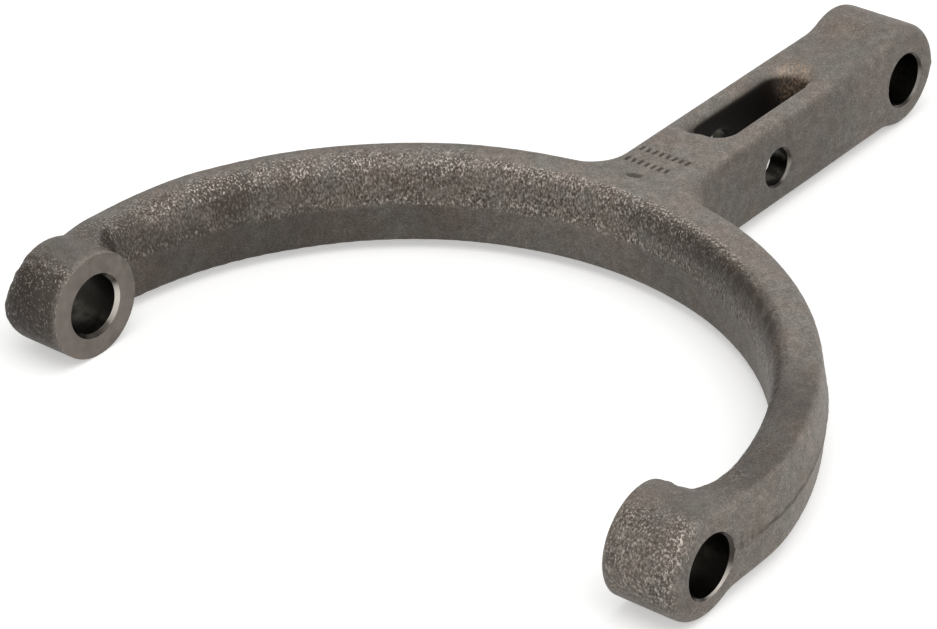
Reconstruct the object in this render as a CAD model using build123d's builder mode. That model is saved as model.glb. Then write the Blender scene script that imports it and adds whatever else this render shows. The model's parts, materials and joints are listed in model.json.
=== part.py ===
from build123d import *
import os
from math import cos, radians, sin

# Shift fork: a forged yoke with two bored tip bosses on one cross axis and a slotted stem.
# X runs across the yoke along the tip bores, Y along the stem and away from the mouth, Z is up.
# The origin is the middle of the tip bore axis and Z = 0 is the parting plane of the forging.
# All lengths are in millimetres and all angles in degrees.

# Tip bosses and their bores
tip_face_span = 177.0  # between the two machined inner faces
tip_reach = 8.4  # from the yoke's inner radius in to the machined face
tip_boss_radius = 14.6
tip_bore_radius = 8.0
tip_bore_chamfer = 1.0
tip_seat_width = 2.6  # of the flat ring round an outer bore mouth
tip_seat_depth = 0.6  # how far the ring is cut into the outer end
tip_flare_start = 2.0  # plain length of a boss before it flares into its arm
tip_flare_margin = 0.4  # the reach less the radius of the flare
tip_flare_angle = 50.0
tip_flare_sink = 4.2  # how far the flare's straight end runs on inside the arm

# Yoke
body_lift = 0.35  # of the middle of the yoke and the stem above the parting plane
yoke_centre = 7.8  # from the tip bore axis to the centre of the yoke's arcs
arm_width = 14.6  # between the yoke's two arcs, at the parting plane
arm_bulge = 1.7  # the yoke's outer radius less half the span of the bosses' outer ends
yoke_outer_draft = 7.0
yoke_inner_draft = 4.0
arm_turn_angle = 14.0  # above the arc centre's level, where the outside turns in to the boss
outer_round = 3.0  # along the yoke's outside, the stem and the outer ends of the bosses
mouth_round_above = 4.5  # along the upper edge inside the mouth
mouth_round_below = 1.5
tip_crest_rise = 2.1  # half the boss height less half the arm height
tip_crest_blend = 8.0  # concave round between a boss and the top of its arm

# Stem
stem_width = 27.2  # at the parting plane
stem_draft = 3.0
stem_root_blend = 10.0  # concave round between the stem and the yoke
end_crest_rise = 2.5  # the end boss's radius less half the stem's height
end_boss_lift = 0.8  # of the end boss's centre above the parting plane
end_boss_blend = 15.0
end_bore_radius = 7.5
end_bore_chamfer = 0.9
end_bore_offset = 32.2  # from the slot's far end to the end bore's axis

# Slot through the stem, from top to bottom, and the cross bore that opens into it
slot_offset = 24.9  # from the back of the yoke to the slot's near end
slot_length = 44.0
slot_wall = 6.9  # metal beside the slot, at the parting plane
slot_rim_round = 1.0
cross_bore_offset = 15.4  # from the slot's near end to the cross bore's axis
cross_bore_radius = 5.25
cross_bore_chamfer = 1.0

# Sizes that follow from those above
tip_face = tip_face_span / 2
tip_flare_radius = tip_reach - tip_flare_margin
yoke_inner_radius = tip_face + tip_reach
yoke_outer_radius = yoke_inner_radius + arm_width
tip_end = yoke_outer_radius - arm_bulge
tip_seat = tip_end - tip_seat_depth
tip_seat_radius = tip_bore_radius + tip_bore_chamfer + tip_seat_width
half_height = tip_boss_radius - tip_crest_rise
stem_side = stem_width / 2
stem_root = yoke_centre + (yoke_inner_radius + yoke_outer_radius) / 2
slot_width = stem_width - 2 * slot_wall
slot_middle = yoke_centre + yoke_outer_radius + slot_offset + slot_length / 2
cross_bore_distance = slot_middle - slot_length / 2 + cross_bore_offset
end_bore_distance = slot_middle + slot_length / 2 + end_bore_offset
end_boss_radius = half_height + end_crest_rise
stem_tip = end_bore_distance + end_boss_radius
edge_tolerance = 0.1
clear_of_part = 5.0  # how far cutting and trimming shapes reach past the metal
blank_height = end_boss_radius + end_boss_lift + clear_of_part
blank_front = -tip_boss_radius - clear_of_part
mouth_front = blank_front - clear_of_part
blank_back = stem_tip + clear_of_part

# Where the right arm's outside leaves the large arc, and the smaller arc that it follows from
# there until it runs straight down to the outer end of the boss
turn_x = yoke_outer_radius * cos(radians(arm_turn_angle))
turn_y = yoke_centre + yoke_outer_radius * sin(radians(arm_turn_angle))
turn_radius = (tip_end - turn_x) / (1 - cos(radians(arm_turn_angle)))


def on_rim(edge):
    return abs(edge.center().Z - body_lift) > half_height - edge_tolerance


def above_middle(edge):
    return edge.center().Z > 0


def inside_yoke(edge):
    middle = edge.center()
    return Vector(middle.X, middle.Y - yoke_centre).length < (yoke_inner_radius + yoke_outer_radius) / 2


def in_slot(edge):
    middle = edge.center()
    across = abs(middle.X) < slot_width / 2 + slot_rim_round + edge_tolerance
    along = abs(middle.Y - slot_middle) < slot_length / 2 + slot_rim_round + edge_tolerance
    return across and along


# Outline from the side: the yoke and the stem are equally thick, with a round boss at each end
with BuildSketch(Plane.YZ) as side_outline:
    Circle(tip_boss_radius)
    with Locations((end_bore_distance / 2, body_lift)):
        Rectangle(end_bore_distance, 2 * half_height)
    with Locations((end_bore_distance, end_boss_lift)):
        Circle(end_boss_radius)
    corners = side_outline.vertices().filter_by_position(Axis.X, edge_tolerance, tip_boss_radius)
    fillet(corners, radius=tip_crest_blend)
    corners = side_outline.vertices().filter_by_position(
        Axis.X, end_bore_distance - end_boss_radius, end_bore_distance - edge_tolerance
    )
    fillet(corners, radius=end_boss_blend)

# Yoke: an arc outside, with arms that turn in to the bosses, and an arc round the mouth. Both
# sides run straight down past the bosses. The upper half narrows away from the parting plane
# and the lower half mirrors it.
with BuildPart() as yoke:
    with BuildSketch(Plane.XY):
        with BuildLine():
            ThreePointArc((turn_x, turn_y), (0, yoke_centre + yoke_outer_radius), (-turn_x, turn_y))
            turn = CenterArc(
                (tip_end - turn_radius, turn_y - turn_radius * sin(radians(arm_turn_angle))),
                turn_radius,
                0,
                arm_turn_angle,
            )
            side = Line(turn @ 0, (tip_end, blank_front))
            mirror(turn, about=Plane.YZ)
            mirror(side, about=Plane.YZ)
            Line((-tip_end, blank_front), (tip_end, blank_front))
        make_face()
    extrude(amount=blank_height, taper=yoke_outer_draft)
    with BuildSketch(Plane.XY):
        with BuildLine():
            ThreePointArc(
                (yoke_inner_radius, yoke_centre),
                (0, yoke_centre + yoke_inner_radius),
                (-yoke_inner_radius, yoke_centre),
            )
            side = Line((yoke_inner_radius, yoke_centre), (yoke_inner_radius, mouth_front))
            mirror(side, about=Plane.YZ)
            Line((-yoke_inner_radius, mouth_front), (yoke_inner_radius, mouth_front))
        make_face()
    extrude(amount=blank_height, taper=-yoke_inner_draft, mode=Mode.SUBTRACT)
    mirror(about=Plane.XY)

# Tip bosses: round about the bore axis, flared at the back where they run into the arms
with BuildPart() as tip_bosses:
    with BuildSketch(Plane.XY):
        with BuildLine():
            face_edge = Line((tip_face, 0), (tip_face, tip_boss_radius))
            plain_edge = Line(face_edge @ 1, face_edge @ 1 + Vector(tip_flare_start, 0))
            flare = CenterArc(
                plain_edge @ 1 + Vector(0, tip_flare_radius),
                tip_flare_radius,
                -90,
                tip_flare_angle,
            )
            flare_run = (yoke_inner_radius + tip_flare_sink - (flare @ 1).X) / (flare % 1).X
            flare_end = Line(flare @ 1, flare @ 1 + flare % 1 * flare_run)
            back_edge = Line(flare_end @ 1, ((flare_end @ 1).X, 0))
            axis_edge = Line(back_edge @ 1, face_edge @ 0)
        make_face()
    revolve(axis=Axis.X)
    mirror(about=Plane.YZ)

# Stem blank: a straight bar, narrower away from the parting plane
with BuildPart() as stem_blank:
    with BuildSketch(Plane.XY):
        with Locations((0, (stem_root + blank_back) / 2)):
            Rectangle(stem_width, blank_back - stem_root)
    extrude(amount=blank_height, taper=stem_draft)
    mirror(about=Plane.XY)

# The forging: the three blanks joined, then trimmed to the outline seen from the side
with BuildPart() as shift_fork:
    add(yoke.part)
    add(tip_bosses.part)
    add(stem_blank.part)
    extrude(side_outline.sketch, amount=tip_end + clear_of_part, both=True, mode=Mode.INTERSECT)

    # Slot with round ends, straight through the stem, and its rounded rims
    with BuildSketch(Plane.XY):
        with Locations((0, slot_middle)):
            SlotOverall(slot_length, slot_width, rotation=90)
    extrude(amount=blank_height, both=True, mode=Mode.SUBTRACT)
    fillet(shift_fork.edges().filter_by(on_rim).filter_by(in_slot), radius=slot_rim_round)

    # Concave rounds where the stem's sides meet the back of the yoke
    root_corners = shift_fork.edges().filter_by(GeomType.HYPERBOLA)
    fillet(root_corners.filter_by_position(Axis.X, -stem_side, stem_side), radius=stem_root_blend)

    # Rounds along the upper and lower edges of the mouth. Each follows the long arc and runs on
    # into the flares of the bosses.
    rims = shift_fork.edges().filter_by(GeomType.CIRCLE).filter_by(on_rim).filter_by(inside_yoke)
    fillet(rims.filter_by(above_middle), radius=mouth_round_above)
    rims = shift_fork.edges().filter_by(GeomType.CIRCLE).filter_by(on_rim).filter_by(inside_yoke)
    fillet(rims.filter_by(above_middle, reverse=True), radius=mouth_round_below)

    # Rounds along the upper and lower edges of the stem, the yoke's outside and the boss ends
    rims = shift_fork.edges().filter_by(Axis.X, reverse=True).filter_by(on_rim)
    rims = rims.filter_by(in_slot, reverse=True).filter_by(inside_yoke, reverse=True)
    fillet(rims, radius=outer_round)

    # Flat seats round the outer mouths of the tip bores
    for seat_plane in (Plane.YZ.offset(tip_seat), Plane.YZ.offset(-tip_seat).reverse()):
        with BuildSketch(seat_plane):
            Circle(tip_seat_radius)
        extrude(amount=clear_of_part, mode=Mode.SUBTRACT)

    # Tip bores, countersunk at both ends
    with BuildSketch(Plane.XY):
        with BuildLine():
            Polyline(
                (tip_face - clear_of_part, 0),
                (tip_face - clear_of_part, tip_bore_radius + tip_bore_chamfer + clear_of_part),
                (tip_face + tip_bore_chamfer, tip_bore_radius),
                (tip_seat - tip_bore_chamfer, tip_bore_radius),
                (tip_seat + clear_of_part, tip_bore_radius + tip_bore_chamfer + clear_of_part),
                (tip_seat + clear_of_part, 0),
                close=True,
            )
        make_face()
        mirror(about=Plane.YZ)
    revolve(axis=Axis.X, mode=Mode.SUBTRACT)

    # Bores across the stem, through the slot and through the end boss, countersunk at the sides
    for bore_y, bore_radius, bore_chamfer in (
        (cross_bore_distance, cross_bore_radius, cross_bore_chamfer),
        (end_bore_distance, end_bore_radius, end_bore_chamfer),
    ):
        wide_radius = bore_radius + bore_chamfer + clear_of_part
        with BuildSketch(Plane.XY):
            with BuildLine():
                Polyline(
                    (0, bore_y),
                    (0, bore_y + bore_radius),
                    (stem_side - bore_chamfer, bore_y + bore_radius),
                    (stem_side + clear_of_part, bore_y + wide_radius),
                    (stem_side + clear_of_part, bore_y),
                    close=True,
                )
            make_face()
            mirror(about=Plane.YZ)
        revolve(axis=Axis((0, bore_y, 0), (1, 0, 0)), mode=Mode.SUBTRACT)

os.makedirs("parts", exist_ok=True)
shift_fork.part.label = "shift_fork"
export_step(shift_fork.part, "parts/shift_fork.step")
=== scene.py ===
import json
from math import atan2, hypot, pi, radians

import bmesh
import bpy
from mathutils import Matrix, Vector, noise


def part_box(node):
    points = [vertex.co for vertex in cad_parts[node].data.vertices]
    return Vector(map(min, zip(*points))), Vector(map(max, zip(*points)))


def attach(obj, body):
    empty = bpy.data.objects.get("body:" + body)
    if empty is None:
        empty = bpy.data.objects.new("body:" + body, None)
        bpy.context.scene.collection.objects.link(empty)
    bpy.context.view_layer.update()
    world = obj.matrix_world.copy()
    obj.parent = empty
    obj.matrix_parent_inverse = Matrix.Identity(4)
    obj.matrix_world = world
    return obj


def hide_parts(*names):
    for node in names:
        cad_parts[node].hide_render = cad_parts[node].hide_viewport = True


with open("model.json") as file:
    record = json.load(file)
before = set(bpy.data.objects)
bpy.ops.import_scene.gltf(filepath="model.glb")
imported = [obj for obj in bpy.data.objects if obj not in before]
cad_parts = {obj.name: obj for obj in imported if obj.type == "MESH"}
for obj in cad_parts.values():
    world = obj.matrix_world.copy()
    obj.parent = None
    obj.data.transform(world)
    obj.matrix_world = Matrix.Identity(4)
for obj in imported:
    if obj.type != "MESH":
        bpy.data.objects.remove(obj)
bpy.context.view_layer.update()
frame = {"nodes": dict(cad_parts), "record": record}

# A forged shift fork with machined tip faces and bores. Sizes in the dictionaries are in
# millimetres unless a note says otherwise. The meshes are in metres.
mm = 0.001


def toLinear(hexColour):
    parts = [int(hexColour[i:i + 2], 16) / 255 for i in (1, 3, 5)]
    return tuple(c / 12.92 if c <= 0.04045 else ((c + 0.055) / 1.055) ** 2.4 for c in parts) + (1.0,)


def addNode(tree, kind, inputs=None, **settings):
    # a node with its settings; each input is a plain value or the output plugged into it
    node = tree.nodes.new(kind)
    for name, value in settings.items():
        setattr(node, name, value)
    for socket, value in (inputs or {}).items():
        if isinstance(value, bpy.types.NodeSocket):
            tree.links.new(value, node.inputs[socket])
        else:
            node.inputs[socket].default_value = value
    return node


def newMaterial(name):
    material = bpy.data.materials.new(name)
    material.use_nodes = True
    material.node_tree.nodes.clear()
    return material, material.node_tree


# The forged body
forging = {
    "voxel": 0.6,
    "smoothing": 5,             # rounds of smoothing that take away the voxel steps
    "plugPastFace": 1.5,        # stock left on the tip faces for the cut
    "plugLap": 1.6,             # how far that stock and the stem's plugs run into the metal
    "tipPlugLap": 2.0,          # the same for the plugs of the tip bores
    "plugShort": 0.5,           # how far a plug ends inside the part's outside
    "plugFromSlot": 0.6,        # how far the cross bore's plugs stay behind the slot's walls
    "waveHeight": 0.10,         # slow hollows and swells of the hammered die
    "waveLength": 24.0,
    "scaleHeight": 0.12,        # rough scale marks of the upper die
    "scaleLength": 1.15,
    "scaleReach": 104.5,        # how far out from the yoke's centre they run, over the mouth's rim
    "skinHeight": 0.03,         # shot-blasted skin everywhere else
    "skinLength": 1.3,
    "skinInset": 0.02,          # the whole skin is drawn in by this much
    "flashHeight": 0.22,        # trimmed flash along the parting plane
    "flashWidth": 0.9,
    "rimWear": 1.1,             # how far the mouth's upper rim is worn back at the arms
    "tipSaddle": 14.4,          # from the bore's axis to the saddle between the right tip and its arm
    "leftArmFall": 1.1,         # how much lower the left arm runs into its tip
    "leftTipRound": 4.4,        # how far the left tip's outer end falls away above
    "slotLip": 0.9,             # how far the slot's right rim leans in, left sharp by the punch
    "slotFall": 1.7,            # how far its left rim is rounded down
    "slotCorner": 1.6,          # how far its near left corner is squared out
    "tipLumps": 0.32,           # coarse lumps on the scaled front of the tips
    "lumpLength": 2.3,
    "triangles": 176000,        # about how many of them the skin keeps
}
# the sizes of the part that the scene's own shapes and marks go by: the bores and tip faces as the
# frame's record gives them, and the others as in the part
mounts = {mount["name"]: mount for mount in frame["record"]["mounts"]}
tipBores, endBore, crossBore = [mounts[name] for name in ("tip_bores", "end_bore", "cross_bore")]
chamfer = 1.0                   # a mount's length leaves out the countersinks at the bore's ends
layout = {
    "yokeCentre": 7.8,
    "halfHeight": 12.5,
    "bodyLift": 0.35,
    "tipStart": 88.0,           # from here outwards along X a point belongs to a tip
    "tipBack": 14.0,            # and from here backwards along Y to its arm
    "tipFace": mounts["right_tip_face"]["pos_m"][0] / mm,
    "tipSeat": tipBores["dims"]["length_mm"] / 2 + chamfer,
    "tipSeatRadius": 11.6,
    "tipRadius": 14.6,
    "tipBore": tipBores["dims"]["r_mm"],
    "stemSide": crossBore["dims"]["length_mm"] / 2 + chamfer,
    "slotSide": 6.7,
    "endBoreY": endBore["pos_m"][1] / mm,
    "endBore": endBore["dims"]["r_mm"],
    "slotY": (150.9, 181.5),    # middles of the slot's round ends
    "crossBoreY": crossBore["pos_m"][1] / mm,
    "crossBore": crossBore["dims"]["r_mm"],
}


def addRod(bm, y, radius, fromX, toX, segments=96):
    # a closed rod along X, for the stock on the tips and the plugs
    place = Matrix.Translation(Vector(((fromX + toX) / 2, y, 0)) * mm) @ Matrix.Rotation(pi / 2, 4, "Y")
    bmesh.ops.create_cone(
        bm, cap_ends=True, segments=segments, radius1=radius * mm, radius2=radius * mm,
        depth=(toX - fromX) * mm, matrix=place,
    )


def finishObject(bm, name, materials):
    mesh = bpy.data.meshes.new(name)
    bm.to_mesh(mesh)
    bm.free()
    for material in materials:
        mesh.materials.append(material)
    piece = bpy.data.objects.new(name, mesh)
    bpy.context.scene.collection.objects.link(piece)
    return piece


def applyModifiers(piece):
    graph = bpy.context.evaluated_depsgraph_get()
    mesh = bpy.data.meshes.new_from_object(piece.evaluated_get(graph))
    old = piece.data
    piece.modifiers.clear()
    piece.data = mesh
    bpy.data.meshes.remove(old)


def makeBlank(materials):
    # the CAD solid with its bores filled and some stock on the tip faces, as it leaves the die
    bm = bmesh.new()
    bm.from_mesh(frame["nodes"]["shift_fork"].data)
    bmesh.ops.remove_doubles(bm, verts=bm.verts, dist=0.002 * mm)
    lap, short = forging["plugLap"], forging["plugShort"]
    stockEnd = layout["tipFace"] - forging["plugPastFace"]
    slotEnd, plugEnd = layout["slotSide"] + forging["plugFromSlot"], layout["stemSide"] - short
    for side in (-1, 1):
        ends = sorted((side * stockEnd, side * (layout["tipFace"] + lap)))
        addRod(bm, 0, layout["tipRadius"] - 0.02, *ends)      # a hair inside the tip's own round
        ends = sorted((side * stockEnd, side * (layout["tipSeat"] - short)))
        addRod(bm, 0, layout["tipBore"] + forging["tipPlugLap"], *ends)
        ends = sorted((side * slotEnd, side * plugEnd))
        addRod(bm, layout["crossBoreY"], layout["crossBore"] + lap, *ends)
    addRod(bm, layout["endBoreY"], layout["endBore"] + lap, -plugEnd, plugEnd)
    piece = finishObject(bm, "forgedFork", materials)
    remesh = piece.modifiers.new("skin", "REMESH")
    remesh.mode = "VOXEL"
    remesh.voxel_size = forging["voxel"] * mm
    applyModifiers(piece)
    return piece


def ramp(value, low, high):
    # a smooth step from 0 at low to 1 at high
    t = min(max((value - low) / (high - low), 0.0), 1.0)
    return t * t * (3 - 2 * t)


def fromYoke(p):
    # distance from the yoke's centre, seen from above
    return hypot(p.x, p.y - layout["yokeCentre"])


def roughness(p, normal):
    # 0 on smooth skin, 1 where the upper die left coarse scale
    x, y, z = p
    start, back = layout["tipStart"], layout["tipBack"]
    wander = noise.noise(Vector((x, y, z * 2)) * 0.09) * 2.2
    leftward = ramp(-x, 10.0, 70.0)
    # the mouth's wall above the parting line, and a little of its upper rim
    aboveParting = ramp(z + wander * 0.4, -0.9, 0.9)
    inward = ramp(forging["scaleReach"] + 2.5 * leftward - fromYoke(p) + wander * 0.7, 0.0, 3.0)
    inward *= ramp(y, 4.0, 12.0)
    wall = inward * aboveParting * ramp(0.985 + 0.09 * leftward - normal.z + wander * 0.01, 0.0, 0.1)
    # the tips, from near the crest of their round to below its front
    radius, turn = hypot(y, z), atan2(-y, z) + wander * 0.12
    tips = ramp(radius, 9.5, 11.0) * ramp(20.0 - radius, 0.0, 2.0) * ramp(abs(x), start, start + 2.0)
    tips *= ramp(turn, 0.1, 0.5) * ramp(2.25 - turn, 0.0, 0.5) * ramp(109.0 - abs(x), -1.0, 2.0) * 0.85
    # the tops of the arms just behind the tips
    arms = ramp(abs(x), start, start + 4.0) * ramp(y, back, back + 6.0)
    arms *= ramp(44.0 - y + wander * 2, 0.0, 12.0)
    arms *= ramp(105.5 - abs(x) + wander, 0.0, 3.0) * ramp(normal.z, 0.1, 0.6) * 0.55
    patches = 0.9 + 0.6 * noise.noise(p / 6.5)
    return min(1.0, max(wall, tips, arms) * patches)


def slotPlace(p):
    # distance outwards from the slot's wall, and the way outwards in the plane
    near, far = layout["slotY"]
    away = Vector((p.x, p.y - min(max(p.y, near), far), 0))
    return away.length - layout["slotSide"], away.normalized()


def dieWear(p):
    # where this forging departs from its ideal form, as a move in mm
    move = Vector()
    outward = Vector((p.x, p.y - layout["yokeCentre"], 0))
    # the mouth's upper rim, worn back more and more towards the tips
    rim = ramp(outward.length, 96.0, 98.5) * ramp(104.0 - outward.length, 0.0, 3.0) * ramp(p.z, 3.0, 11.0)
    rim *= ramp(p.y, layout["tipBack"], layout["tipBack"] + 10.0)
    move += outward.normalized() * rim * forging["rimWear"] * ramp(abs(p.x), 30.0, 85.0)
    # the saddle where the right tip runs into its arm
    if p.x > 0 and 2.0 < p.y < 22.0:
        around = Vector((0, p.y, p.z))
        hollow = ramp(106.0 - p.x, 0.0, 12.0) * ramp(p.y, 3.0, 9.0) * ramp(22.0 - p.y, 0.0, 8.0)
        hollow *= ramp(p.z, 4.0, 8.0)
        floor = forging["tipSaddle"] + 7.2 * ramp(p.y, 10.0, 21.0)
        move -= around.normalized() * hollow * max(0.0, around.length - floor)
    # the left arm, lower towards its tip
    if p.x < 0:
        hollow = ramp(-p.x, layout["tipFace"], 96.0) * ramp(p.y, 4.0, 26.0) * ramp(52.0 - p.y, 0.0, 26.0)
        move.z -= forging["leftArmFall"] * hollow * ramp(p.z, 2.0, 11.0)
    # the left tip's outer end, falling away more and more over its last stretch
    start, run = 102.8, 6.4
    if p.x < -start and p.y < 18.0:
        fall = ((-p.x - start) / run) ** 2 * ramp(p.z, -5.0, 12.0) * ramp(18.0 - p.y, 0.0, 12.0)
        move -= Vector((0, p.y, p.z)).normalized() * forging["leftTipRound"] * fall
    # the rim of the slot: its near left corner, its sharp right lip and its rounded left side
    beyond, way = slotPlace(p)
    if -2.5 < beyond < 6.5 and 135.0 < p.y < 200.0:
        corner = max(0.0, 2 * way.x * way.y) ** 2 if way.x < 0 else 0.0
        move += Vector((-0.8, -0.25, 0)) * corner * forging["slotCorner"] * ramp(6.0 - beyond, 0.0, 5.0)
        sharp = ramp(way.x - way.y * 0.8, -0.2, 0.7)
        move -= way * sharp * forging["slotLip"] * ramp(p.z, 9.5, 12.0) * ramp(3.2 - beyond, 0.0, 2.4)
        move.z -= (1 - sharp) * forging["slotFall"] * ramp(3.4 - beyond, 0.0, 4.2) * ramp(p.z, 9.0, 12.5)
    return move


def scaleGrain(p):
    size = forging["scaleLength"]
    return noise.noise(p / size) + 0.6 * noise.noise(p / size * 2.1)


def partingLine(p):
    return max(0.0, 1 - abs(p.z + 0.5 * noise.noise(p / 3.5)) / forging["flashWidth"])


def skinLift(p, normal):
    # how far the skin stands out at a point, in mm: waves, scale, fine dimples, lumps and flash
    rough = roughness(p, normal)
    wave = noise.noise(p / forging["waveLength"]) * forging["waveHeight"]
    fine = noise.noise(p / forging["skinLength"] + Vector((40, 0, 0))) * (1 - rough)
    lift = wave + rough * scaleGrain(p) * forging["scaleHeight"] + fine * forging["skinHeight"]
    if abs(p.x) > layout["tipStart"] and p.y < layout["tipBack"]:
        lift += rough * noise.noise(p / forging["lumpLength"]) * forging["tipLumps"]
    outside = ramp(1 - abs(normal.z), 0.6, 0.9) * (1 - ramp(rough, 0.0, 0.5))
    lift += partingLine(p) * outside * forging["flashHeight"] * (0.6 + 0.8 * noise.noise(p / 3))
    return lift - forging["skinInset"]


def keptInside(place, low, high):
    return [min(max(c, a), b) for c, a, b in zip(place, low, high)]


def hammerSkin(piece):
    # smooths the voxel steps, then gives the skin its relief and its wear
    bm = bmesh.new()
    bm.from_mesh(piece.data)
    for step in range(forging["smoothing"]):
        bmesh.ops.smooth_vert(
            bm, verts=bm.verts, factor=0.5, use_axis_x=True, use_axis_y=True, use_axis_z=True,
        )
    bm.normal_update()
    moves = []
    for vert in bm.verts:
        p = vert.co / mm
        moves.append((vert.normal * skinLift(p, vert.normal) + dieWear(p)) * mm)
    low, high = (Vector(c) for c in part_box("shift_fork"))
    for vert, move in zip(bm.verts, moves):
        place = vert.co + move
        # the skin near each tip's seat is kept level with it, and all of it inside the part's box
        reach = (layout["tipSeat"] + 0.05 + 0.55 * ramp(hypot(place.y, place.z) / mm, 13.0, 22.0)) * mm
        if place.y < 30 * mm:
            place.x = min(max(place.x, -reach), reach)
        vert.co = keptInside(place, low, high)
    bm.to_mesh(piece.data)
    bm.free()
    faces = len(piece.data.polygons)
    thin = piece.modifiers.new("thin", "DECIMATE")
    thin.ratio = min(1.0, forging["triangles"] / (faces * 2))
    applyModifiers(piece)
    for vert in piece.data.vertices:
        vert.co = keptInside(vert.co, low, high)
    print("forged skin:", faces, "faces thinned to", len(piece.data.polygons))


def spinProfile(bm, y, profile, segments=128):
    # a closed solid of revolution about the line through y along X, from (x, radius) points
    verts = [bm.verts.new(Vector((x, y + radius, 0)) * mm) for x, radius in profile]
    edges = [bm.edges.new(pair) for pair in zip(verts, verts[1:])]
    bmesh.ops.spin(
        bm, geom=verts + edges, cent=Vector((0, y, 0)) * mm, axis=(1, 0, 0), angle=2 * pi,
        steps=segments, use_merge=True, use_duplicate=False,
    )


# The plain punched marks and the dimple on the root of the stem
stamps = {
    "rows": ((129.4, 8), (122.9, 7)),       # place along Y and how many punches
    "start": -9.3,
    "pitch": 2.15,
    "size": (1.0, 2.3),
    "turns": (0, 7, -5, 0, 10, -8, 3, -3),  # degrees
    "depth": 0.32,
    "punch": (0.55, 1.35),                  # its radius at the end and at the top, times the size
    "dimple": (-2.3, 116.4, 3.4, 1.7, 15),  # place, half size and turn of the oval
}


def addStamps(bm):
    top, rise = layout["halfHeight"] + layout["bodyLift"], 0.6      # the cutters stand out by the rise
    depth, turns = stamps["depth"], stamps["turns"]
    start, pitch = stamps["start"], stamps["pitch"]
    narrow, wide = stamps["punch"]
    places = [
        (start + pitch * step, y, *stamps["size"], turns[(step + row * 3) % len(turns)], 4)
        for row, (y, count) in enumerate(stamps["rows"]) for step in range(count)
    ]
    places.append((*stamps["dimple"], 24))
    for x, y, across, along, turn, sides in places:
        shape = Matrix.Translation(Vector((x, y, top + (rise - depth) / 2)) * mm)
        shape @= Matrix.Rotation(radians(turn), 4, "Z") @ Matrix.Diagonal((across, along, 1, 1))
        shape @= Matrix.Rotation(pi / sides, 4, "Z")
        bmesh.ops.create_cone(
            bm, cap_ends=True, segments=sides, radius1=narrow * mm, radius2=wide * mm,
            depth=(rise + depth) * mm, matrix=shape,
        )


def nearStamps(p):
    return -10.6 < p.x < 8.0 and 113.0 < p.y < 132.0 and p.z > 11.0


def makeCutter(materials):
    # every machined surface and the punched marks as one set of closed cutters
    bm = bmesh.new()
    tip, seat, seatRadius = layout["tipFace"], layout["tipSeat"], layout["tipSeatRadius"]
    half = layout["stemSide"]
    bore, facing = layout["tipBore"], 19        # the facing cutter is wider than the tips
    for side in (-1, 1):
        spinProfile(bm, 0, [(side * x, radius) for x, radius in (
            (tip - 6, 0), (tip - 6, facing), (tip, facing), (tip, bore + chamfer),
            (tip + chamfer, bore), (seat - chamfer, bore), (seat, bore + chamfer),
            (seat, seatRadius), (seat + 4, seatRadius), (seat + 4, 0),
        )])
    for y, bore in ((layout["endBoreY"], layout["endBore"]), (layout["crossBoreY"], layout["crossBore"])):
        wide, past = bore + chamfer, 3          # the countersinks run on past the stem's sides
        spinProfile(bm, y, [
            (-half - past, 0), (-half - past, wide + past), (-half, wide), (-half + chamfer, bore),
            (half - chamfer, bore), (half, wide), (half + past, wide + past), (half + past, 0),
        ])
    bmesh.ops.remove_doubles(bm, verts=bm.verts, dist=0.001 * mm)
    bmesh.ops.recalc_face_normals(bm, faces=bm.faces)
    for face in bm.faces:
        # 1 is turned, 2 bored, 3 countersunk, and 0 stays forged
        slope, middle = abs(face.normal.x), face.calc_center_median() / mm
        faced = slope > 0.9 and abs(middle.x) < tip + 1
        bored = slope < 0.1 and (middle.y > 50 or hypot(middle.y, middle.z) < layout["tipBore"] + 1)
        face.material_index = 1 if faced else 2 if bored else 3 if 0.1 <= slope <= 0.9 else 0
    addStamps(bm)
    for face in bm.faces:
        face.smooth = True
    return finishObject(bm, "cutter", materials)


def machine(piece, cutter):
    # makes all the cuts, then shades everything smooth but the edges that they leave
    cut = piece.modifiers.new("machined", "BOOLEAN")
    cut.operation = "DIFFERENCE"
    cut.solver = "MANIFOLD"
    cut.object = cutter
    applyModifiers(piece)
    bpy.data.objects.remove(cutter)
    bm = bmesh.new()
    bm.from_mesh(piece.data)
    for face in bm.faces:
        face.smooth = True
    for edge in bm.edges:
        # sharp where two finishes meet, and at the corners inside a machined or punched surface
        kinds = {face.material_index for face in edge.link_faces}
        corner = len(edge.link_faces) == 2 and edge.calc_face_angle(0) > radians(30)
        tooled = kinds != {0} or nearStamps(edge.verts[0].co / mm)
        edge.smooth = not (len(kinds) > 1 or (tooled and corner))
    bm.to_mesh(piece.data)
    bm.free()


# The finishes
forgedLook = {
    "skin": "#857f7a",
    "brown": "#89786e",
    "green": "#75756c",
    "pit": "#44382e",
    # the bright grit's colour, also used for painted highlights and glints
    "peakAndGlint": "#cbbfb5",
    "rust": "#b3967a",
    "slotShadow": "#14110f",         # painted shadow deep in the slot
    "sootAndShade": "#2e261f",          # scale that stayed on the left tip and the mouth's wall, and painted shade there, in the slot, the punched marks, on the stem's sides and the arms
    "castSize": 11.0,           # mm across one patch of brown or green cast
    "mottleSize": 3.2,          # mm, soft lighter and darker mottling
    "blastSize": 0.5,           # mm, the shot's dimples, drawn a little coarser than real
    "scaleSize": 0.55,          # mm, the grit of the scaled zones
    "blastDepth": 0.05,         # mm
    "scaleDepth": 0.16,         # mm
}
# each look's last colour is a painted highlight
turnedLook = {
    "clean": "#736b65", "dulled": "#66605a", "glinted": "#736b65",
    "dullness": 0.34, "lineSpacing": 0.45, "lineDepth": 0.008,
}
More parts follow.
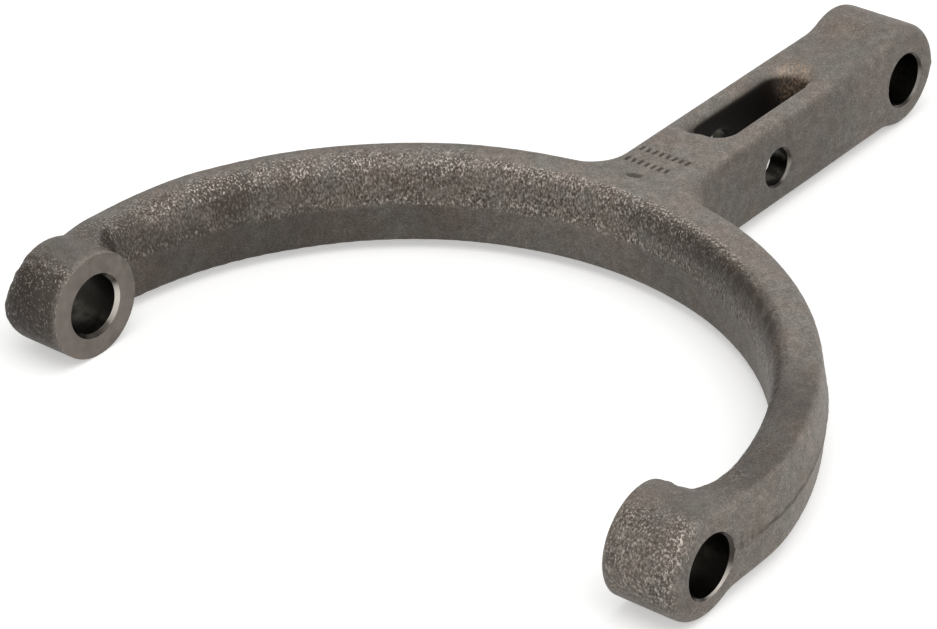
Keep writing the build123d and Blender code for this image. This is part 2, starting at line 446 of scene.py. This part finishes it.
# painted shade: the bores' steel is drawn dark, for the shade inside them
boreShadeLook = {
    "clean": "#4a4741", "dulled": "#201e1b", "glinted": "#2c2925",
    "dullness": 0.34, "lineSpacing": 0.6, "lineDepth": 0.008,
}
countersunkLook = {
    "clean": "#45403b", "dulled": "#35312d", "glinted": "#bfb8b0",
    "dullness": 0.22, "lineSpacing": 0.6, "lineDepth": 0.004,
}
# what is worked out for each point of the fork and read by its finishes
marks = ("scaled", "flecksAndGlints", "grain", "rust", "sootAndShade", "glint", "parting")


def makeForgedSteel():
    # drop-forged steel, shot-blasted: a dull warm grey skin of fine dimples, with coarse dark and
    # bright grit where scale was hammered in, faint brown and green casts, a little rust, and painted shade
    # and highlights
    material, tree = newMaterial("dropForgedShotBlastedSteel")
    tint = {name: toLinear(value) for name, value in forgedLook.items() if str(value).startswith("#")}
    where = addNode(tree, "ShaderNodeTexCoord").outputs["Object"]
    place = addNode(tree, "ShaderNodeMapping", {"Vector": where, "Scale": (1000, 1000, 1000)}).outputs[0]
    # the scale is drawn out along the die's closing
    drawn = addNode(tree, "ShaderNodeMapping", {"Vector": where, "Scale": (1000, 1000, 580)}).outputs[0]
    scaled, flecksAndGlints, grain, rust, sootAndShade, glint, line = [
        addNode(tree, "ShaderNodeAttribute", attribute_name=name).outputs["Fac"] for name in marks
    ]
    cast, mottle, blast, grit = [
        addNode(tree, "ShaderNodeTexNoise", {
            "Vector": vector, "Scale": 1 / forgedLook[size], "Detail": 3.0, "Roughness": 0.6,
        }).outputs[0]
        for vector, size in (
            (place, "castSize"), (place, "mottleSize"), (place, "blastSize"), (drawn, "scaleSize"),
        )
    ]
    colour = addNode(tree, "ShaderNodeMix", {
        0: 0.5, 6: tint["skin"], 7: tint["green"],
    }, data_type="RGBA").outputs[2]
    # one row a layer of colour: the pattern, its range, the layer's share at both ends, the tint
    for source, low, high, atLow, atHigh, layer in (
        (cast, 0.35, 0.65, 0.0, 0.5, "brown"),
        (mottle, 0.52, 0.34, 0.0, 0.24, "pit"),
        (mottle, 0.52, 0.68, 0.0, 0.14, "peakAndGlint"),
        (blast, 0.52, 0.30, 0.0, 0.32, "pit"),
        (blast, 0.52, 0.72, 0.0, 0.34, "peakAndGlint"),
        # dark scale and painted shade
        (sootAndShade, 0.0, 1.0, 0.0, 1.0, "sootAndShade"),
        # painted shadow, black deep in the slot
        (sootAndShade, 1.0, 1.5, 0.0, 0.9, "slotShadow"),
        (grit, 0.52, 0.35, 0.0, scaled, "pit"),
        # bright grit, partly painted glints
        (grit, 0.56, 0.66, 0.0, flecksAndGlints, "peakAndGlint"),
        (grain, -0.1, -1.3, 0.0, scaled, "pit"),
        # painted highlights
        (grit, 0.52, 0.64, 0.0, glint, "peakAndGlint"),
        (grit, 0.44, 0.60, 0.0, rust, "rust"),
        (line, 0.0, 1.0, 0.0, 1.0, "pit"),
    ):
        share = addNode(tree, "ShaderNodeMapRange", {
            "Value": source, "From Min": low, "From Max": high, "To Min": atLow, "To Max": atHigh,
        })
        colour = addNode(tree, "ShaderNodeMix", {
            0: share.outputs[0], 6: colour, 7: tint[layer],
        }, data_type="RGBA").outputs[2]

    dull = addNode(tree, "ShaderNodeMapRange", {
        "Value": blast, "From Min": 0.35, "From Max": 0.70, "To Min": 0.66, "To Max": 0.50,
    })
    bright = addNode(tree, "ShaderNodeMapRange", {
        "Value": grit, "From Min": 0.45, "From Max": 0.65, "To Min": 0.62, "To Max": 0.36,
    })
    dullness = addNode(tree, "ShaderNodeMix", {0: scaled, 2: dull.outputs[0], 3: bright.outputs[0]})
    fine = addNode(tree, "ShaderNodeBump", {"Distance": forgedLook["blastDepth"] * mm, "Height": blast})
    coarse = addNode(tree, "ShaderNodeBump", {
        "Distance": forgedLook["scaleDepth"] * mm, "Height": grit, "Strength": scaled,
        "Normal": fine.outputs[0],
    })
    steel = addNode(tree, "ShaderNodeBsdfPrincipled", {
        "Metallic": 0.45, "Base Color": colour, "Roughness": dullness.outputs[0],
        "Normal": coarse.outputs[0],
    })
    addNode(tree, "ShaderNodeOutputMaterial", {"Surface": steel.outputs[0]})
    return material


def makeCutSteel(name, look, faced):
    # steel cut by a tool that turned about an axis along X: satin, with fine rings round the axis
    material, tree = newMaterial(name)
    where = addNode(tree, "ShaderNodeTexCoord").outputs["Object"]
    place = addNode(tree, "ShaderNodeMapping", {"Vector": where, "Scale": (1000, 1000, 1000)}).outputs[0]
    parts = addNode(tree, "ShaderNodeSeparateXYZ", {"Vector": place}).outputs
    reach = parts["X"]
    if faced:
        flat = addNode(tree, "ShaderNodeCombineXYZ", {"Y": parts["Y"], "Z": parts["Z"]}).outputs[0]
        reach = addNode(tree, "ShaderNodeVectorMath", {0: flat}, operation="LENGTH").outputs["Value"]
    turns = addNode(tree, "ShaderNodeMath", {
        0: reach, 1: 2 * pi / look["lineSpacing"],
    }, operation="MULTIPLY")
    rings = addNode(tree, "ShaderNodeMath", {0: turns.outputs[0]}, operation="SINE")
    smear = addNode(tree, "ShaderNodeTexNoise", {"Vector": place, "Scale": 0.33, "Detail": 3.0})
    dulled = addNode(tree, "ShaderNodeMapRange", {
        "Value": smear.outputs[0], "From Min": 0.35, "From Max": 0.65,
    })
    colour = addNode(tree, "ShaderNodeMix", {
        0: dulled.outputs[0], 6: toLinear(look["clean"]), 7: toLinear(look["dulled"]),
    }, data_type="RGBA")
    # painted highlight in the look's last colour
    glinted = addNode(tree, "ShaderNodeAttribute", attribute_name="glint").outputs["Fac"]
    colour = addNode(tree, "ShaderNodeMix", {
        0: glinted, 6: colour.outputs[2], 7: toLinear(look["glinted"]),
    }, data_type="RGBA")
    dullness = addNode(tree, "ShaderNodeMapRange", {
        "Value": smear.outputs[0], "From Min": 0.3, "From Max": 0.7,
        "To Min": look["dullness"] - 0.05, "To Max": look["dullness"] + 0.07,
    })
    bump = addNode(tree, "ShaderNodeBump", {"Distance": look["lineDepth"] * mm, "Height": rings.outputs[0]})
    steel = addNode(tree, "ShaderNodeBsdfPrincipled", {
        "Metallic": 1.0, "Base Color": colour.outputs[2], "Roughness": dullness.outputs[0],
        "Normal": bump.outputs[0],
    })
    addNode(tree, "ShaderNodeOutputMaterial", {"Surface": steel.outputs[0]})
    return material


def mouthSootAndShade(p, normal):
    # the mouth's wall, dark scale and painted shade: even below the parting line, where the wall faces down,
    # and above it in a blotch and in upright streaks
    outward = Vector((p.x, p.y - layout["yokeCentre"], 0))
    left, right = ramp(-p.x, 0.0, 85.0), ramp(p.x, -15.0, 35.0)
    low = ramp(0.6 - p.z, 0.0, 1.6)
    blotch = ramp(noise.noise(p / 9.0 + Vector((11, 0, 0))), -0.4, 0.2) * ramp(-p.x, 72.0, 88.0)
    streaks = 0.55 + 0.5 * noise.noise(Vector((p.x, p.y, p.z * 0.25)) / 1.8)
    streaks *= ramp(p.x, -15.0, 40.0) * ramp(p.z, 2.0, 8.0) * ramp(12.4 - p.z, 0.0, 1.5)
    upper = min(0.28 * left + 0.36 * right + 0.36 * blotch + streaks, 0.95)
    # painted shade below the parting line, where the wall faces down
    lower = 0.15 + 0.46 * left + 0.26 * right
    facing = ramp(-normal.dot(outward) / outward.length, 0.0, 0.6)
    inside = ramp(106.0 - outward.length, 0.0, 4.0) * ramp(p.y, 8.0, 14.0)
    return (lower * low + upper * (1 - low)) * facing * inside


def lipShade(p, normal):
    # painted shade on the round above the mouth's right wall
    lip = ramp(p.x, -30.0, 40.0) * ramp(normal.z, 0.1, 0.4) * ramp(0.85 - normal.z, 0.0, 0.3)
    return lip * ramp(105.0 - fromYoke(p), 0.0, 3.0) * ramp(p.z, 4.0, 8.0) * ramp(p.y, 20.0, 30.0) * 0.6


def tipSootAndShade(p, normal):
    # the left tip, dark scale with painted shade: darkest at its outer end and lighter on its top and
    # underneath
    tip = ramp(-p.x, layout["tipStart"], layout["tipStart"] + 4.0) * ramp(22.0 - p.y, 0.0, 8.0)
    tip *= 0.98 + 0.16 * ramp(-p.x, 93.0, 104.0)
    return tip * (1 - 0.6 * ramp(normal.z, 0.7, 1.0)) * (1 - 0.45 * ramp(atan2(-p.y, p.z), 1.7, 2.3))


def armShade(p, normal):
    # painted shade, light, on the outer part of the left arm and on the top of the right arm
    left = ramp(fromYoke(p), 103.0, 109.0) * ramp(-p.x, -10.0, 60.0) * 0.3
    right = ramp(p.x, 50.0, 80.0) * ramp(normal.z, 0.5, 0.9) * ramp(80.0 - p.y, 0.0, 30.0)
    return max(left, right * (0.3 + 0.26 * ramp(p.y, 8.0, 18.0)))


def stemShade(p, normal):
    # painted shade on the stem's sides, and on its top behind the slot
    sides = (0.37 - 0.24 * ramp(p.y, 180.0, 205.0)) * ramp(abs(normal.x), 0.4, 0.9)
    top = 0.16 * ramp(normal.z, 0.4, 0.9) * ramp(p.y, 175.0, 200.0)
    return ramp(p.y, 122.0, 130.0) * ramp(16.0 - abs(p.x), 0.0, 2.0) * (sides + top)


def seatDarkening(p):
    # darker on the front of the flat seat round the right tip's outer bore mouth
    seat = ramp(p.x, 108.4, 109.0) * ramp(13.5 - hypot(p.y, p.z), 0.0, 1.5)
    return seat * ramp(6.0 - p.y, 0.0, 8.0) * 0.3


def slotShade(p):
    # painted shade on the slot's walls, black inside, with a lighter far end above
    inside = ramp(1.2 - slotPlace(p)[0], 0.0, 1.4) * ramp(12.4 - p.z, 0.0, 2.6) * ramp(14.0 + p.z, 0.0, 3.0)
    return inside * (1.5 - 0.8 * ramp(p.y, 180.0, 186.0) * ramp(p.z, -2.0, 9.0))


def stampShade(p, normal):
    # painted shade on the floors of the punched marks
    return 0.75 * ramp(12.72 - p.z, 0.0, 0.15) if nearStamps(p) and normal.z > 0.1 else 0.0


def sootAndShadeDepth(p, normal):
    # how dark a point is painted, by scale that stayed on the skin and by painted shade, above 1 where it is
    # painted black
    wander = noise.noise(p / 14.0) * 0.25
    skin = max(
        mouthSootAndShade(p, normal), lipShade(p, normal), tipSootAndShade(p, normal), armShade(p, normal),
        stemShade(p, normal), seatDarkening(p),
    )
    return max(skin * (1 + wander), slotShade(p), stampShade(p, normal))


# the side of each countersink with a painted highlight: side of X, bore's place and radius, share, way in Y
# and Z
glintingRims = (
    (-1, 0.0, layout["tipBore"], 1.0, (0.95, -0.31)),
    (1, 0.0, layout["tipBore"], 0.9, (0.45, -0.89)),
    (1, layout["endBoreY"], layout["endBore"], 0.35, (0.84, -0.54)),
    (1, layout["crossBoreY"], layout["crossBore"], 0.35, (0.84, -0.54)),
)


def glintShare(p, normal):
    # painted highlights: on one side of the countersinks, along the left tip's turned face, on the
    # front edge of the right tip's end and in specks along the mouth's upper rim
    for side, y, bore, share, way in glintingRims:
        away = Vector((p.y - y, p.z))
        if side * p.x > 0 and away.length < bore + chamfer + 0.05:
            return share * ramp(away.normalized().dot(Vector(way)), 0.7, 1.0)
    face = ramp(layout["tipFace"] + 0.7 - abs(p.x), 0.0, 0.5) * ramp(hypot(p.y, p.z), 13.0, 13.8)
    face *= ramp(-p.x, 0.0, 1.0) * ramp(-p.y, -4.0, 8.0) * 0.8
    end = ramp(p.x, 101.0, 106.0) * ramp(layout["tipSeat"] - p.x, 0.0, 1.5)
    end *= ramp(-p.y, 2.0, 8.0) * ramp(p.z, -10.0, 0.0)
    rim = ramp(normal.z, 0.75, 0.9) * ramp(0.995 - normal.z, 0.0, 0.03) * ramp(106.0 - fromYoke(p), 0.0, 2.0)
    rim *= ramp(p.y, 20.0, 40.0) * ramp(p.z, 9.0, 11.0) * ramp(p.x, -60.0, 0.0) * ramp(62.0 - p.x, 0.0, 25.0)
    return max(face, end * 0.8, rim * 0.9)


def flecksAndGlintShare(p):
    # how much of the scale's bright grit and painted glints shows: most along the upper and lower edges
    # of the mouth's wall, less and less towards its right end, and little low at its left end and on the
    # left tip
    back = layout["tipBack"]
    muted = (0.6 * ramp(p.x, -5.0, 30.0) + 0.4 * ramp(p.x, 25.0, 60.0)) * ramp(p.y, back, back + 10.0)
    muted = max(muted, 0.4 * ramp(-p.x, 92.0, 101.0))
    muted = max(muted, 0.55 * ramp(-p.x, 55.0, 88.0) * ramp(10.0 - p.z, 0.0, 3.0))
    edges = max(ramp(p.z, 7.5, 10.5), ramp(3.4 - p.z, 0.0, 2.0)) if p.y > back else 0.3
    leftWall = ramp(-p.x, 20.0, 70.0) * ramp(p.y, 10.0, 14.0)
    return (1 - muted) * (0.75 + 0.75 * edges) * (1 - 0.25 * leftWall)


def rustiness(p):
    # a rusty stain at the slot's far end, and faint patches here and there
    slotEnd = 1 - ramp(Vector((p.x + 1.5, p.y - 188.5, (p.z - 9.5) * 0.6)).length, 2.5, 7.0)
    patch = ramp(noise.noise(p / 9.0 + Vector((7, 0, 0))), 0.42, 0.62) * 0.12
    return max(slotEnd * 0.95, patch) * (0.5 + 0.5 * ramp(scaleGrain(p), -0.3, 0.3))


def partingMark(p, normal):
    # the dark line of the trimmed flash round the outside of the yoke
    outside = ramp(1 - abs(normal.z), 0.6, 0.9) * ramp(fromYoke(p), 101.0, 104.0)
    return partingLine(p) * outside * ramp(112.0 - p.y, 0.0, 12.0) * ramp(p.y, 9.0, 15.0)


def paintMarks(piece):
    # works out the marks of every point and stores them on the mesh
    mesh = piece.data
    rows = []
    for vert in mesh.vertices:
        p, normal = vert.co / mm, vert.normal
        scaled = roughness(p, normal)
        rows.append((
            scaled, scaled * flecksAndGlintShare(p), scaleGrain(p), rustiness(p), sootAndShadeDepth(p, normal),
            glintShare(p, normal), partingMark(p, normal),
        ))
    for name, values in zip(marks, zip(*rows)):
        layer = mesh.attributes.new(name, "FLOAT", "POINT")
        layer.data.foreach_set("value", list(values))


# The fork
finishes = [
    makeForgedSteel(),
    makeCutSteel("turnedSteel", turnedLook, True),
    makeCutSteel("shadedBoredSteel", boreShadeLook, False),
    makeCutSteel("countersunkSteel", countersunkLook, False),
]
fork = makeBlank(finishes)
print("blank:", len(fork.data.polygons), "faces")
hammerSkin(fork)
machine(fork, makeCutter(finishes))
print("machined:", len(fork.data.polygons), "faces")
paintMarks(fork)
print("marks:", len(marks), "kinds on", len(fork.data.vertices), "points")
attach(fork, "root")
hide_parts("shift_fork")

# Floor, light and camera
studio = {
    "floorHeight": -14.6,
    "floorSize": 6.0,           # metres
    "floorColour": "#f2f2f0",
    "bounceColour": "#646462",  # what the floor gives back to the part
    "middle": (0.0, 0.11, 0.0),  # where the lamps aim, in metres
    "lamps": (                  # place in metres, watts, width in metres
        ("keyLamp", (0.45, -0.05, 1.2), 8.7, 1.4),
        ("fillLamp", (-0.9, -0.3, 0.7), 0.5, 0.8),
        ("sideLamp", (1.2, 0.2, 0.3), 0.9, 0.6),
    ),
    "worldStrength": 0.42,
    "floorGlow": 0.42,
}


def aimAt(thing, place, target):
    thing.location = place
    thing.rotation_mode = "QUATERNION"
    thing.rotation_quaternion = (Vector(target) - Vector(place)).to_track_quat("-Z", "Y")


def addLamp(name, place, target, power, size):
    lamp = bpy.data.lights.new(name, "AREA")
    lamp.shape = "DISK"
    lamp.size = size
    lamp.energy = power
    thing = bpy.data.objects.new(name, lamp)
    bpy.context.scene.collection.objects.link(thing)
    aimAt(thing, place, target)


def seenPlainly(tree):
    # 1 for the camera's own view and for what mirrors or glass show, 0 for soft light
    path = addNode(tree, "ShaderNodeLightPath").outputs
    either = path["Is Camera Ray"]
    for other in ("Is Glossy Ray", "Is Transmission Ray"):
        either = addNode(tree, "ShaderNodeMath", {0: either, 1: path[other]}, operation="MAXIMUM").outputs[0]
    return either


def makeFloor():
    bm = bmesh.new()
    bmesh.ops.create_grid(bm, x_segments=1, y_segments=1, size=studio["floorSize"] / 2)
    bmesh.ops.translate(bm, verts=bm.verts, vec=(0, 0, studio["floorHeight"] * mm))
    material, tree = newMaterial("palePaperSweep")
    seen = seenPlainly(tree)
    colour = addNode(tree, "ShaderNodeMix", {
        0: seen, 6: toLinear(studio["bounceColour"]), 7: toLinear(studio["floorColour"]),
    }, data_type="RGBA")
    paper = addNode(tree, "ShaderNodeBsdfDiffuse", {"Color": colour.outputs[2]})
    strength = addNode(tree, "ShaderNodeMath", {0: seen, 1: studio["floorGlow"]}, operation="MULTIPLY")
    glow = addNode(tree, "ShaderNodeEmission", {"Color": (1, 1, 1, 1), "Strength": strength.outputs[0]})
    both = addNode(tree, "ShaderNodeAddShader", {0: paper.outputs[0], 1: glow.outputs[0]})
    addNode(tree, "ShaderNodeOutputMaterial", {"Surface": both.outputs[0]})
    floor = finishObject(bm, "floor", [material])


makeFloor()
world = bpy.data.worlds.new("studioWhite")
bpy.context.scene.world = world
world.use_nodes = True
world.node_tree.nodes.clear()
strength = addNode(world.node_tree, "ShaderNodeMapRange", {
    "Value": seenPlainly(world.node_tree), "To Min": studio["worldStrength"], "To Max": 1.0,
})
sky = addNode(world.node_tree, "ShaderNodeBackground", {
    "Color": (1, 1, 1, 1), "Strength": strength.outputs[0],
})
addNode(world.node_tree, "ShaderNodeOutputWorld", {"Surface": sky.outputs[0]})

for name, place, power, size in studio["lamps"]:
    addLamp(name, place, studio["middle"], power, size)
print("studio: a floor and", len(studio["lamps"]), "lamps")

# the camera's place and turn, found by fitting the part's holes and outline to the photograph
view = {
    "place": (0.5402, -0.5727, 0.5110),     # metres
    "right": (0.7687, 0.6379, -0.0466),
    "up": (-0.3015, 0.4258, 0.8532),
    "lens": 146.9,
    "shift": (0.0089, -0.0195),
}
cameraData = bpy.data.cameras.new("camera")
cameraData.lens = view["lens"]
cameraData.sensor_width = 36.0
cameraData.shift_x, cameraData.shift_y = view["shift"]
cameraData.clip_start = 0.05
cameraData.clip_end = 20.0
camera = bpy.data.objects.new("camera", cameraData)
bpy.context.scene.collection.objects.link(camera)
right = Vector(view["right"]).normalized()
up = Vector(view["up"])
up = (up - right * up.dot(right)).normalized()
axes = Matrix((right, up, right.cross(up))).transposed()
camera.rotation_mode = "QUATERNION"
camera.rotation_quaternion = axes.to_quaternion()
camera.location = view["place"]
bpy.context.scene.camera = camera
bpy.context.scene.view_settings.view_transform = "Standard"
